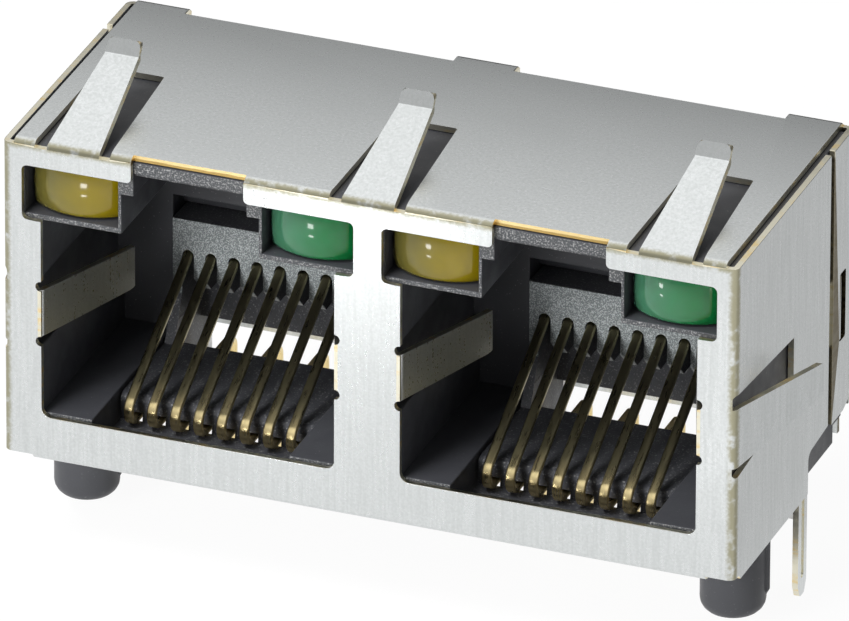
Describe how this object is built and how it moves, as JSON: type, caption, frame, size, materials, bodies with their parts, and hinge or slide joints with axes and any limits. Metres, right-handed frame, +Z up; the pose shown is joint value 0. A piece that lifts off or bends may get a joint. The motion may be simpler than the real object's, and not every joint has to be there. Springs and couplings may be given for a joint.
{
  "type": "rj45 board jack",
  "caption": "Dual shielded right-angle modular jack for a circuit board, latch side up, with signal lamps, spring contacts, grounding fingers and locating pegs.",
  "frame": {"origin": "on the board's top face, midway between the axes of the two locating pegs", "axes": "+X across the ports to the right as seen from the mating side, +Y from the mating face towards the back, +Z up from the board"},
  "size_m": [0.0346, 0.0138, 0.0213],
  "materials": {
    "tin_plate": "satin plated sheet",
    "black_plastic": "fine matte moulding",
    "carrier_plastic": "fine matte moulding",
    "gold_plate": "polished plating",
    "yellow_lens": "tinted clear resin",
    "green_lens": "tinted clear resin",
    "lead_wire": "tinned"
  },
  "bodies": {
    "root": {"shield": "tin_plate", "housing": "black_plastic", "contact_carrier_1": "carrier_plastic", "contact_carrier_2": "carrier_plastic", "contact_1_1": "gold_plate", "contact_1_2": "gold_plate", "contact_1_3": "gold_plate", "contact_1_4": "gold_plate", "contact_1_5": "gold_plate", "contact_1_6": "gold_plate", "contact_1_7": "gold_plate", "contact_1_8": "gold_plate", "contact_2_1": "gold_plate", "contact_2_2": "gold_plate", "contact_2_3": "gold_plate", "contact_2_4": "gold_plate", "contact_2_5": "gold_plate", "contact_2_6": "gold_plate", "contact_2_7": "gold_plate", "contact_2_8": "gold_plate", "lamp_yellow_1": "yellow_lens", "lamp_green_1": "green_lens", "lamp_yellow_2": "yellow_lens", "lamp_green_2": "green_lens", "lamp_lead_yellow_1_left": "lead_wire", "lamp_lead_yellow_1_right": "lead_wire", "lamp_lead_green_1_left": "lead_wire", "lamp_lead_green_1_right": "lead_wire", "lamp_lead_yellow_2_left": "lead_wire", "lamp_lead_yellow_2_right": "lead_wire", "lamp_lead_green_2_left": "lead_wire", "lamp_lead_green_2_right": "lead_wire"}
  },
  "joints": []
}
